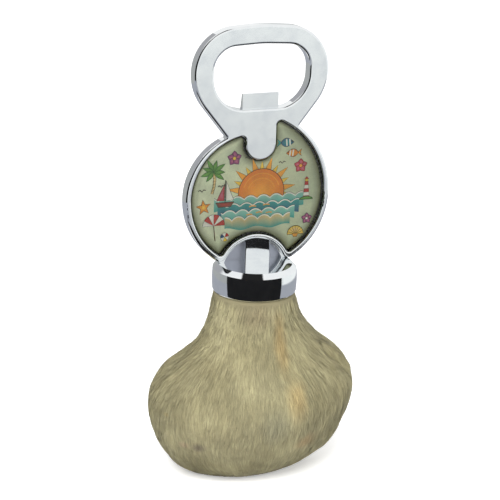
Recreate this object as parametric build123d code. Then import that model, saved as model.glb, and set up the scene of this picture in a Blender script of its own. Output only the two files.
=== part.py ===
from build123d import *
import os
from math import acos, atan2, cos, degrees, hypot, radians, sin, sqrt, tan

# Souvenir bottle opener: a chromed opener head stands on a chromed collar, and the collar closes
# the neck of a stuffed fur pouch.  Millimetres, +Z up, the printed face looks toward -Y.  The
# origin lies on the flat that the pouch stands on, under the axis of the collar.

# ---- Collar -------------------------------------------------------------------------------
collar_bottom = 64.5           # height of the collar's lower rim above the base
collar_height = 9.6
collar_radius = 14.3
collar_bulge = 0.15            # how far the wall swells at mid height
collar_wall = 1.0
collar_roof = 1.4
collar_bevel = 1.6
collar_lower_round = 0.9

# ---- Opener head: plate -------------------------------------------------------------------
plate_thickness = 4.2
plate_front = 0.6              # depth of the front face behind the collar's axis
head_shift = 0.9               # the head stands this far to the right of the collar's axis
front_round = 0.8
back_round = 0.4

# ---- Opener head: loop --------------------------------------------------------------------
mouth_rise = 29.8              # lower edge of the mouth above the disc's centre
mouth_width = 33.4
mouth_height = 21.5
mouth_top_corner = 8.0
mouth_crown = 0.9              # rise of the mouth's top edge toward its middle
mouth_bottom_corner = 11.0
bar_width = 6.7                # at the sides
top_bar_width = 6.3
loop_top_corner = 15.0
loop_crown = 1.7               # rise of the loop's top edge toward its middle
crown_radius = 45.0            # rounds the middle of both top edges
side_share = 0.98              # share of a straight side that the rounds at its ends may take
side_bend_rise = 6.0           # where the sides start to lean in, above the mouth's lower edge
side_bend_radius = 17.0
side_lean = 38.0               # degrees from vertical
notch_round = 0.5

# ---- Opener head: cap-lifting tongue ------------------------------------------------------
tongue_width = 12.6
tongue_reach = 5.1             # above the mouth's lower edge
tongue_setback = 1.1           # behind the plate's front face
tongue_thickness = 2.1
tongue_lip = 0.9               # thickness left at the lip
tongue_root = 1.5              # how deep the tongue runs into the plate

# ---- Opener head: disc and its pocket -----------------------------------------------------
disc_rise = 22.4               # disc centre above the collar's top face
disc_radius = 25.6
left_shoulder_radius = 22.3    # the left shoulder is flatter ...
right_shoulder_radius = 29.0   # ... and the right one climbs higher
shoulder_join = 9.0            # half width at which the shoulders run into the waist
rim_width = 1.9
pocket_depth = 1.9
pocket_edge_round = 0.5
shoulder_easing = 1.1          # the pocket's shoulders turn this much wider than the disc's
finger_width = 10.6            # tab of the front face that reaches down into the pocket
finger_offset = 0.3            # the tab's middle from the disc's centre line
finger_side = 3.4              # its straight left side, between the pocket's horn and its round tip
horn_round = 1.6
lobe_round = 1.3

# ---- Opener head: arch, neck and post -----------------------------------------------------
arch_offset = -0.8             # arch centre from the disc's centre line
arch_drop = 26.1               # arch centre below the disc's centre
arch_radius = 11.7
arch_rim = 1.5
lobe_end_round = 2.2
ledge_width = 0.7
ledge_depth = 1.5
neck_recess = 3.0
post_width = 8.9
post_offset = 0.5              # post's middle from the disc's centre line
post_setback = 0.5             # post face behind the plate's front face
post_edge_round = 0.4
boss_depth = 1.6               # how far the post stands out behind the plate
boss_height = 11.0
boss_chamfer = 0.8

# ---- Print and resin ----------------------------------------------------------------------
print_thickness = 0.15
inlay_gap = 0.08               # sideways clearance of print and resin in the pocket
resin_sink = 0.2               # resin surface below the plate's front face
resin_round = 0.7

# ---- Screw joint between head and collar --------------------------------------------------
screw_diameter = 3.0
screw_engagement = 6.0
screw_head_diameter = 5.6
screw_head_height = 1.8
screw_slot_width = 0.8
screw_slot_depth = 0.9
washer_diameter = 7.0
washer_thickness = 0.6
hole_clearance = 0.1           # on the radius
hole_end_room = 0.5            # hole beyond the screw's tip

# ---- Pouch neck ---------------------------------------------------------------------------
skin_thickness = 2.0
neck_radius = 12.4             # outside of the skin where it is tucked into the collar
neck_top_gap = 1.2             # skin's end below the collar's roof
plug_clearance = 0.15
plug_length = 16.5
plug_bore_clearance = 0.8      # around the washer
plug_bore_depth = 3.4
wire_diameter = 0.5
wire_rise = 4.5                # binding wire above the collar's lower rim
glue_start = 0.6               # glue bead above the collar's lower rim
glue_height = 2.0
glue_gap = 0.05
stuffing_gap = 0.2

# ---- Pouch form ---------------------------------------------------------------------------
# Height above the base, sideways shift, half width and half depth of each level of the bag.
pouch_levels = [
    (0.0, -1.6, 17.0, 9.5),
    (3.0, -1.4, 23.0, 13.5),
    (10.0, -1.0, 30.0, 20.5),
    (20.0, -0.7, 34.4, 26.0),
    (29.0, 0.3, 35.0, 28.0),
    (36.0, 2.0, 32.0, 25.5),
    (41.5, 3.4, 26.2, 21.0),
    (46.5, 2.8, 20.9, 17.5),
    (53.0, 1.3, 16.4, 15.0),
    (59.5, 0.4, 14.3, 14.0),
]
oval_end_share = 0.57          # how much sharper the ends grow as an oval gets longer
pouch_top_radius = 13.6        # just below the collar
pouch_top_gap = 0.2            # between the bag's shoulder and the collar's rim

# ---- Derived places -----------------------------------------------------------------------
collar_top = collar_bottom + collar_height
roof_underside = collar_top - collar_roof
collar_inner_radius = collar_radius - collar_wall
disc_z = collar_top + disc_rise
mouth_bottom = disc_z + mouth_rise
mouth_top = mouth_bottom + mouth_height
loop_half = mouth_width / 2 + bar_width
loop_top = mouth_top + top_bar_width
plate_back = plate_front + plate_thickness
arch_z = disc_z - arch_drop
left_shoulder_x = left_shoulder_radius - disc_radius
right_shoulder_x = disc_radius - right_shoulder_radius
left_horn_x = finger_offset - finger_width / 2
left_horn_rise = sqrt(
    (left_shoulder_radius + shoulder_easing - rim_width)**2
    - (left_horn_x - left_shoulder_x - shoulder_easing)**2)
finger_z = disc_z + left_horn_rise - finger_side
post_front = plate_front + post_setback
post_back = plate_back + boss_depth
screw_x = head_shift + post_offset
screw_y = (post_front + post_back) / 2
neck_inner_radius = neck_radius - skin_thickness
plug_radius = neck_inner_radius - plug_clearance
plug_bottom = roof_underside - plug_length
BIG = 200.0                    # larger than the whole object, for trimming
OVERCUT = 1.0                  # how far a cut runs past the faces it opens
TOLERANCE = 0.01               # for picking edges and corners by their place


def slab(face, front, back):
    """Solid of an X-Z outline between two depths."""
    plane = Plane(origin=(0, back, 0), x_dir=(1, 0, 0), z_dir=(0, -1, 0))
    return extrude(plane * face, back - front)


def cylinder_between(radius, low, high):
    """Upright cylinder between two heights, on the Z axis."""
    return Pos(0, 0, (low + high) / 2) * Cylinder(radius, high - low)


def screw_hole():
    """Bore for the screw, from below the collar's roof into the post."""
    hole_end = collar_top + screw_engagement + hole_end_room
    hole = cylinder_between(screw_diameter / 2 + hole_clearance, plug_bottom, hole_end)
    return Pos(screw_x, screw_y, 0) * hole


def on_circle(centre_x, centre_z, radius, angle):
    """Point of a circle at an angle in degrees, counted from +X toward +Z."""
    return (centre_x + radius * cos(radians(angle)), centre_z + radius * sin(radians(angle)))


def disc_face(inset, join, easing=0.0):
    """The disc's outline moved inward: a lower half circle and two unequal shoulder arcs.

    The shoulders end at join on either side of the middle and a straight line closes them.
    Easing widens both shoulder arcs, which still run on smoothly from the half circle.
    """
    radius = disc_radius - inset
    left_radius = left_shoulder_radius + easing - inset
    right_radius = right_shoulder_radius + easing - inset
    left_x = left_shoulder_x + easing
    right_x = right_shoulder_x - easing
    left_angle = 180 - degrees(acos((join + left_x) / left_radius))
    right_angle = degrees(acos((join - right_x) / right_radius))
    left_end = on_circle(left_x, disc_z, left_radius, left_angle)
    right_end = on_circle(right_x, disc_z, right_radius, right_angle)
    left_middle = on_circle(left_x, disc_z, left_radius, (180 + left_angle) / 2)
    right_middle = on_circle(right_x, disc_z, right_radius, right_angle / 2)
    outline = [
        ThreePointArc(left_end, left_middle, (-radius, disc_z)),
        ThreePointArc((-radius, disc_z), (0, disc_z - radius), (radius, disc_z)),
        ThreePointArc((radius, disc_z), right_middle, right_end),
        Line(right_end, left_end),
    ]
    return make_face(outline)


def corners_on(face, centre_x, centre_z, radius):
    """Corners of an outline that lie on a circle."""
    return [
        corner for corner in face.vertices()
        if abs(hypot(corner.X - centre_x, corner.Y - centre_z) - radius) < TOLERANCE
    ]


def arch_disc(extra):
    """Round face about the arch's centre, larger than the arch by extra."""
    return Pos(arch_offset, arch_z) * Circle(arch_radius + extra)


def fitting_radii(low_radius, low_turn, top_radius, top_turn, length):
    """Two corner radii, made smaller together where one straight side is too short for both."""
    low_tangent = low_radius * tan(radians(low_turn / 2))
    top_tangent = top_radius * tan(radians(top_turn / 2))
    share = min(1.0, side_share * length / (low_tangent + top_tangent))
    return low_radius * share, top_radius * share


def loop_face():
    """Outline of the loop, from the waist up, without its mouth."""
    lean = tan(radians(side_lean))
    bend_z = mouth_bottom + side_bend_rise
    foot_z = disc_z + disc_radius / 2
    foot_half = loop_half - (bend_z - foot_z) * lean
    corner_z = loop_top - loop_crown
    top_turn = 90 - degrees(atan2(loop_crown, loop_half))
    bend, corner = fitting_radii(
        side_bend_radius, side_lean, loop_top_corner, top_turn, corner_z - bend_z)
    outline = FilletPolyline(
        (-foot_half, foot_z),
        (-loop_half, bend_z),
        (-loop_half, corner_z),
        (0, loop_top),
        (loop_half, corner_z),
        (loop_half, bend_z),
        (foot_half, foot_z),
        radius=[bend, corner, crown_radius, corner, bend],
    )
    return make_face([outline, Line((foot_half, foot_z), (-foot_half, foot_z))])


def mouth_face():
    """Outline of the mouth that takes the crown cap."""
    half = mouth_width / 2
    corner_z = mouth_top - mouth_crown
    top_turn = 90 - degrees(atan2(mouth_crown, half))
    low, top = fitting_radii(
        mouth_bottom_corner, 90, mouth_top_corner, top_turn, corner_z - mouth_bottom)
    outline = FilletPolyline(
        (-half, mouth_bottom),
        (-half, corner_z),
        (0, mouth_top),
        (half, corner_z),
        (half, mouth_bottom),
        radius=[low, top, crown_radius, top, low],
        close=True,
    )
    return make_face(outline)


def pocket_face(gap):
    """Outline of the printed pocket, smaller by gap all round."""
    half = finger_width / 2 + gap
    finger = Pos(0, (finger_z + mouth_bottom) / 2) * Rectangle(2 * half, mouth_bottom - finger_z)
    finger += Pos(0, finger_z) * Circle(half)
    face = disc_face(rim_width + gap, half - abs(finger_offset), shoulder_easing)
    face -= Pos(finger_offset, 0) * finger
    face -= arch_disc(arch_rim + gap)
    horns = [
        corner for corner in face.vertices()
        if abs(abs(corner.X - finger_offset) - half) < TOLERANCE and corner.Y > finger_z + TOLERANCE
    ]
    face = fillet(horns, horn_round)
    lobes = corners_on(face, arch_offset, arch_z, arch_radius + arch_rim + gap)
    return fillet(lobes, lobe_round)


def raised_face():
    """Outline of the plate's front layer: loop and disc, open at the arch, with rounded ends."""
    face = loop_face() + disc_face(0, shoulder_join)
    left = corners_on(face, left_shoulder_x, disc_z, left_shoulder_radius)
    right = corners_on(face, right_shoulder_x, disc_z, right_shoulder_radius)
    notches = [corner for corner in left + right if corner.Y > disc_z + TOLERANCE]
    face = fillet(notches, notch_round)
    face -= arch_disc(0)
    ends = corners_on(face, arch_offset, arch_z, arch_radius)
    return fillet(ends, lobe_end_round)


def edges_at(solid, depth):
    """Edges of a solid that lie in the X-Z plane at this depth."""
    return solid.edges().filter_by_position(Axis.Y, depth - TOLERANCE, depth + TOLERANCE)


def front_openings(solid):
    """Edges around each opening in the plate's front face, the lowest opening first."""
    depths = (plate_front - TOLERANCE, plate_front + TOLERANCE)
    front = solid.faces().filter_by_position(Axis.Y, *depths).sort_by(SortBy.AREA)[-1]
    wires = sorted(front.inner_wires(), key=lambda wire: wire.center().Z)
    return [wire.edges() for wire in wires]


def above_collar(solid):
    """Keep what stands above the collar's top face."""
    return solid & Pos(0, 0, collar_top + BIG / 2) * Box(BIG, BIG, BIG)


def make_tongue():
    """Cap-lifting tongue, thinner toward its lip, running into the plate below the mouth."""
    front = plate_front + tongue_setback
    back = front + tongue_thickness
    root_z = mouth_bottom - tongue_root
    lip_z = mouth_bottom + tongue_reach
    profile = Polyline(
        (front, root_z),
        (back, root_z),
        (back, mouth_bottom),
        (front + tongue_lip, lip_z),
        (front, lip_z),
        close=True,
    )
    side = Plane(origin=(-tongue_width / 2, 0, 0), x_dir=(0, 1, 0), z_dir=(1, 0, 0))
    return extrude(side * make_face(profile), tongue_width)


def make_post():
    """Post that carries the head on the collar, with its boss behind the plate."""
    height = arch_z + arch_radius - collar_top
    column = Pos(post_offset, collar_top + height / 2) * Rectangle(post_width, height)
    post = slab(column & arch_disc(arch_rim / 2), post_front, plate_back)
    post = fillet(edges_at(post, post_front).filter_by(Axis.Z), post_edge_round)
    boss_face = Pos(post_offset, collar_top + boss_height / 2) * Rectangle(post_width, boss_height)
    boss = slab(boss_face, plate_back - back_round, post_back)
    rear = edges_at(boss, post_back).filter_by_position(Axis.Z, collar_top + TOLERANCE, BIG)
    return post + chamfer(rear, boss_chamfer)


def make_head():
    """Loop, disc tray, neck and post in one casting."""
    raised = slab(raised_face(), plate_front, plate_front + neck_recess)
    raised = fillet(edges_at(raised, plate_front), front_round)
    base_face = loop_face() + disc_face(0, shoulder_join)
    base = slab(base_face, plate_front + neck_recess, plate_back)
    base = fillet(edges_at(base, plate_back), back_round)
    # The ledge also fills the corners behind the rounded ends of the lobes.
    ledge_ring = (arch_disc(lobe_end_round) - arch_disc(-ledge_width)) & disc_face(0, shoulder_join)
    ledge = slab(ledge_ring, plate_front + ledge_depth, plate_front + neck_recess)
    head = raised + base + ledge
    head -= slab(mouth_face(), plate_front - OVERCUT, plate_back + OVERCUT)
    head -= slab(pocket_face(0), plate_front - OVERCUT, plate_front + pocket_depth)
    head = fillet(front_openings(head)[1], front_round)
    head = fillet(front_openings(head)[0], pocket_edge_round)
    reach = mouth_width / 2 + TOLERANCE
    rear_mouth = edges_at(head, plate_back).filter_by_position(Axis.X, -reach, reach)
    rear_mouth = rear_mouth.filter_by_position(
        Axis.Z, mouth_bottom - TOLERANCE, mouth_top + TOLERANCE)
    head = fillet(rear_mouth, back_round)
    head = above_collar(head) + make_post() + make_tongue()
    return Pos(head_shift, 0, 0) * head - screw_hole()


def make_print():
    """Printed picture on the pocket's floor."""
    floor = plate_front + pocket_depth
    return Pos(head_shift, 0, 0) * slab(pocket_face(inlay_gap), floor - print_thickness, floor)


def make_resin():
    """Clear resin over the picture, with its edge drawn down all round."""
    back = plate_front + pocket_depth - print_thickness
    front = plate_front + resin_sink
    resin = slab(pocket_face(inlay_gap), front, back)
    return Pos(head_shift, 0, 0) * fillet(edges_at(resin, front), resin_round)


def make_collar():
    """Drawn metal cap: roof, bevel, swelling wall and rounded lower rim."""
    wall_top = collar_top - collar_bevel
    wall_bottom = collar_bottom + collar_lower_round
    middle = (wall_top + wall_bottom) / 2
    straight = collar_radius - collar_bulge
    round_x = straight - collar_lower_round
    round_mid = (round_x + collar_lower_round * cos(radians(45)),
                 wall_bottom - collar_lower_round * sin(radians(45)))
    outline = [
        Line((0, collar_top), (straight - collar_bevel, collar_top)),
        Line((straight - collar_bevel, collar_top), (straight, wall_top)),
        ThreePointArc((straight, wall_top), (collar_radius, middle), (straight, wall_bottom)),
        ThreePointArc((straight, wall_bottom), round_mid, (round_x, collar_bottom)),
        Line((round_x, collar_bottom), (collar_inner_radius, collar_bottom)),
        Line((collar_inner_radius, collar_bottom), (collar_inner_radius, roof_underside)),
        Line((collar_inner_radius, roof_underside), (0, roof_underside)),
        Line((0, roof_underside), (0, collar_top)),
    ]
    cap = revolve(Plane.XZ * make_face(outline), Axis.Z)
    return cap - screw_hole()


def make_washer():
    """Plain washer under the screw's head, against the collar's roof."""
    low = roof_underside - washer_thickness
    disc = cylinder_between(washer_diameter / 2, low, roof_underside)
    return Pos(screw_x, screw_y, 0) * disc - screw_hole()


def make_screw():
    """Slotted screw, driven upward through washer and roof into the post."""
    seat = roof_underside - washer_thickness
    low = seat - screw_head_height
    tip = collar_top + screw_engagement
    shank = cylinder_between(screw_diameter / 2, seat, tip)
    screw = shank + cylinder_between(screw_head_diameter / 2, low, seat)
    screw -= Pos(0, 0, low) * Box(BIG, screw_slot_width, 2 * screw_slot_depth)
    return Pos(screw_x, screw_y, 0) * screw


def make_plug():
    """Wooden plug inside the pouch's neck, hollowed over the screw's head."""
    plug = cylinder_between(plug_radius, plug_bottom, roof_underside)
    bore_radius = washer_diameter / 2 + plug_bore_clearance
    bore_bottom = roof_underside - plug_bore_depth
    bore = cylinder_between(bore_radius, bore_bottom, roof_underside + OVERCUT)
    return plug - Pos(screw_x, screw_y, 0) * bore


def make_binding_wire():
    """Wire drawn tight round the skin's neck, inside the collar."""
    ring_radius = neck_radius + wire_diameter / 2
    return Pos(0, 0, collar_bottom + wire_rise) * Torus(ring_radius, wire_diameter / 2)


def make_glue():
    """Bead of glue between the skin's neck and the collar's wall."""
    low = collar_bottom + glue_start
    high = low + glue_height
    bead = cylinder_between(collar_inner_radius - glue_gap, low, high)
    return bead - cylinder_between(neck_radius + glue_gap, low - OVERCUT, high + OVERCUT)


def oval(half_x, half_y):
    """Closed outline of four tangent arcs, each under a half circle."""
    end_radius = half_y - (half_x - half_y) * oval_end_share
    if half_x - half_y < TOLERANCE:
        reach_x = half_x * cos(radians(45))
        reach_y = reach_x
    else:
        gap_x = half_x - end_radius
        side_radius = (gap_x**2 + half_y**2 - end_radius**2) / (2 * (half_y - end_radius))
        gap_y = side_radius - half_y
        stretch = end_radius / hypot(gap_x, gap_y)
        reach_x = gap_x * (1 + stretch)
        reach_y = gap_y * stretch
    corners = [(reach_x, reach_y), (-reach_x, reach_y), (-reach_x, -reach_y), (reach_x, -reach_y)]
    middles = [(0, half_y), (-half_x, 0), (0, -half_y), (half_x, 0)]
    arcs = [ThreePointArc(corners[i], middles[i], corners[(i + 1) % 4]) for i in range(4)]
    return make_face(arcs)


def pouch_solid(levels):
    """Smooth bag through level ovals."""
    return loft([Pos(shift, 0, z) * oval(half_x, half_y) for z, shift, half_x, half_y in levels])


def inward(levels, depth):
    """The same levels moved inward, square to the bag's side profile."""
    moved = []
    for i, (z, shift, half_x, half_y) in enumerate(levels):
        below = levels[max(i - 1, 0)]
        above = levels[min(i + 1, len(levels) - 1)]
        rise = above[0] - below[0]
        spread = above[2] - below[2]
        length = hypot(rise, spread)
        inset = depth * rise / length
        lift = depth * spread / length
        if i == 0:
            inset = 0
            lift = depth
        moved.append((z + lift, shift, half_x - inset, half_y - inset))
    return moved


def outer_levels():
    """Levels of the bag's outside, up to just below the collar."""
    top = (collar_bottom - pouch_top_gap, 0.0, pouch_top_radius, pouch_top_radius)
    return pouch_levels + [top]


def make_pouch_skin():
    """Hollow fur bag with its neck tucked into the collar."""
    bag_top = collar_bottom - pouch_top_gap
    neck_top = roof_underside - neck_top_gap
    neck_low = bag_top - skin_thickness
    bag = pouch_solid(outer_levels()) + cylinder_between(neck_radius, neck_low, neck_top)
    bag -= pouch_solid(inward(outer_levels(), skin_thickness))
    return bag - cylinder_between(neck_inner_radius, neck_low - skin_thickness, neck_top + OVERCUT)


def make_stuffing():
    """Soft filling under the plug."""
    filling = pouch_solid(inward(outer_levels(), skin_thickness + stuffing_gap))
    top = plug_bottom - stuffing_gap
    return filling - Pos(0, 0, top + BIG / 2) * Box(BIG, BIG, BIG)


MAKERS = {
    "opener_head": make_head,
    "print_inlay": make_print,
    "resin_dome": make_resin,
    "collar": make_collar,
    "neck_screw": make_screw,
    "neck_washer": make_washer,
    "neck_plug": make_plug,
    "binding_wire": make_binding_wire,
    "glue_bead": make_glue,
    "pouch_skin": make_pouch_skin,
    "stuffing": make_stuffing,
}

os.makedirs("parts", exist_ok=True)
for name, maker in MAKERS.items():
    solid = maker()
    export_step(solid, f"parts/{name}.step")
    size = solid.bounding_box().size
    print(f"{name}: {size.X:.1f} x {size.Y:.1f} x {size.Z:.1f} mm, {solid.volume:.0f} mm3")
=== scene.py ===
"""Looks of the souvenir bottle opener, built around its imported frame.

Lengths are in metres, in the frame's own axes: +Z up, the printed face toward -Y.
"""

import math

import bpy
import numpy as np
from mathutils import Matrix, Vector, kdtree, noise
from mathutils.bvhtree import BVHTree


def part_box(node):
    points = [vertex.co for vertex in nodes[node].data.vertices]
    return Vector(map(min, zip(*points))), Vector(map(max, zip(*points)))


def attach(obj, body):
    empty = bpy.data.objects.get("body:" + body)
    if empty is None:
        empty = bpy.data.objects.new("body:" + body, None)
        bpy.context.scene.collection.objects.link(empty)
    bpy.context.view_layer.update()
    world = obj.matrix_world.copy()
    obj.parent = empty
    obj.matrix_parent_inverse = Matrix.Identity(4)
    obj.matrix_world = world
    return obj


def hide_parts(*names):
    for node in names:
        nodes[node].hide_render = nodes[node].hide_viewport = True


MM = 0.001

# ---- Camera ----------------------------------------------
CAMERA_TARGET = Vector((0, 0, 78 * MM))
CAMERA_DISTANCE = 540 * MM
CAMERA_AZIMUTH = 22.24            # degrees, the camera stands this far to the left of the front
CAMERA_ELEVATION = 18.18
CAMERA_ROLL = 1.83
CAMERA_LENS = 116.25              # mm
CAMERA_SIDESTEP = -1.74 * MM      # along the picture's width, to frame the object
CAMERA_RISE = 0.27 * MM

# ---- Light -----------------------------------------------
WORLD_STRENGTH = 0.86             # what matt surfaces get from all round
KEY_POWER = 8.5                   # watts
KEY_PLACE = Vector((-0.35, -0.55, 0.75))
KEY_SIZE = 0.5
FLOOR_RADIUS = 4.0
FLOOR_COLOUR = (0.93, 0.93, 0.93)
FLOOR_GLOW = 0.36                 # lifts the floor to white for the camera alone

CARD_RADIUS = 50 * MM             # black card before the collar, for its dark reflections
CARD_BEARINGS = (-90, 46)
CARD_HEIGHTS = (20 * MM, 67 * MM)

# The studio that only shiny surfaces see, in degrees.  Bearings are counted from the front, -Y,
# toward +X, and heights above the horizon.  A pair is where a soft edge begins and ends.
WALL_TOP = (4, 14)
WALL_TINT = (0.975, 1.0, 0.995)
WALL_FOOT = (-18.2, -16.9)        # below it the walls have the colour of the skirting
SKIRTING = (0.40, 0.405, 0.455)
PALE_WALL = (-26, -12)            # the wall is dark before these bearings and pale after them
PALE_WALL_LEVELS = (0.015, 1.0)
BACK_LEFT = (-104, -96)           # the back's left part is grey before these bearings
BACK_LEFT_LEVEL = 0.42
BACK_RIGHT = (125, 180)           # the back's right part darkens between these
BACK_RIGHT_LEVEL = -0.55
FRONT_WALL = (-20, 60)            # limits of the front wall, which darkens toward its foot
FRONT_FOOT = (-16.2, -10.2)
FRONT_FOOT_SHADE = 0.30
GROUND_TOP = (-38, -30)
DARK = (0.02, 0.02, 0.02)         # ground, and the dark parts of the sky
STREAK_HEIGHTS = (-56, -38)       # limits of a white streak on the ground behind
BEHIND = 100                      # degrees from the front
SKY_GAP = (52, 58)                # heights at which the dark parts of the sky meet
SKY_LENS_SIDE = (-82, 22)         # limits of the dark part above the gap
SKY_DARK_SIDE = (-97, -30)        # limits of the dark part below the gap
SKY_GREY = (0.42, 0.42, 0.44)     # low over the back's left part
SKY_GREY_HEIGHTS = (40, 30)

# ---- Metal and print -------------------------------------
# Depths are along Y from the middle plane, and each pair is a soft edge.
RECESS_START = (2.2 * MM, 3.0 * MM)     # the neck's rougher flats lie between these two
RECESS_END = (4.4 * MM, 4.6 * MM)
POST_START = (0.85 * MM, 0.95 * MM)     # the post's face, a cleaner mirror, lies between these two
POST_END = (1.3 * MM, 1.4 * MM)
FLAT = (0.985, 0.999)              # how squarely a flat faces the front
OLIVE_SHADE = (0.115, 0.118, 0.045)      # painted olive shade on the film's border
OLIVE_SHADE_REACH = (0.5, 2.8)           # mm from the film's edge that it begins to pale, and mm it takes
SEAM_SHADE = (0.012, 0.012, 0.008)       # painted shade where the film meets the pocket's wall
SEAM_SHADE_REACH = 0.7                   # mm from the film's edge
EDGE_STEP = 0.3 * MM
PAPER_LEFT = (0.78, 0.84, 0.64)
PAPER_RIGHT = (0.55, 0.61, 0.44)
PRINT_CELL = 0.4 * MM
DISC_RISE = 22.4 * MM              # disc centre above the collar
LAYER = 0.02 * MM
PRINT_STACK = 0.3 * MM             # all inked shapes together

# ---- Fur -------------------------------------------------
ROW_STEP = 0.7 * MM
COLUMNS = 240
STRANDS_PER_PIECE = 24000
FUR_SEED = 7
HAIR_WIDTH = 0.24 * MM
HAIR_LENGTHS = (5.0 * MM, 9.0 * MM)     # under the collar and on the belly
HAIR_LIFT = 0.6 * MM
HAIR_TWIST = 16                    # degrees
HAIR_STEPS = (0.0, 0.4, 0.75, 1.0)
HAIR_WIDTHS = (0.9, 1.0, 0.65, 0.0)
LOCK_SPACING = 1.5 * MM
LOCK_PULL = 0.3
SWEEP = 11                         # degrees that the lie of the hair wanders
STRAY = 5                          # degrees from hair to hair
PIECE_SHARES = (0.27, 0.62)        # shares of the pouch's surface at which one piece follows another

SKIN_TOP_GAP = 0.3 * MM            # from the collar down to the first row
BASE_HEIGHT = 0.25 * MM
HEIGHTS_READ = 260                 # rows read off the CAD pouch, and rings across its base
BASE_RINGS = 24
INNERMOST = 0.04                   # share of the base's rim at which the rings stop
FAR = 0.2                          # metres, outside the pouch
TUCKS = ((12.9, 0.2), (12.4, 0.9), (12.2, 3.0))     # radius and rise inside the collar, in mm
FOLD_START = np.array((21.5, -11.5, 45.0)) * MM     # crease on the right shoulder
FOLD_END = np.array((31.0, -12.0, 35.5)) * MM

# Share, centre in mm, radius in mm, stretch along X, Y and Z, and colour of each marking.
MARKINGS = (
    (0.55, (3.5, -17, 51), 6, (0.55, 1.5, 2.4), (0.46, 0.32, 0.13)),
    (0.55, (6, -26, 33), 6, (0.8, 1.2, 1.8), (0.46, 0.33, 0.14)),
    # this one darkens the fur just under the collar
    (0.45, (-4, -13, 60), 7, (1.2, 1.2, 1.0), (0.23, 0.18, 0.11)),
    (0.35, (-2, -27, 25), 9, (0.8, 1.2, 1.1), (0.27, 0.27, 0.19)),
    (0.70, (-25, -17, 17), 3.2, (1.0, 1.4, 0.8), (0.16, 0.13, 0.10)),
    (0.55, (-28.5, -13, 17.5), 2.6, (1.0, 1.6, 0.7), (0.36, 0.24, 0.16)),
    (0.60, (-33.4, -9, 27), 1.3, (1.0, 1.6, 0.7), (0.50, 0.36, 0.14)),
    (0.50, (11, -23, 17), 5, (1.2, 1.4, 0.9), (0.46, 0.31, 0.16)),
)

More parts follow.
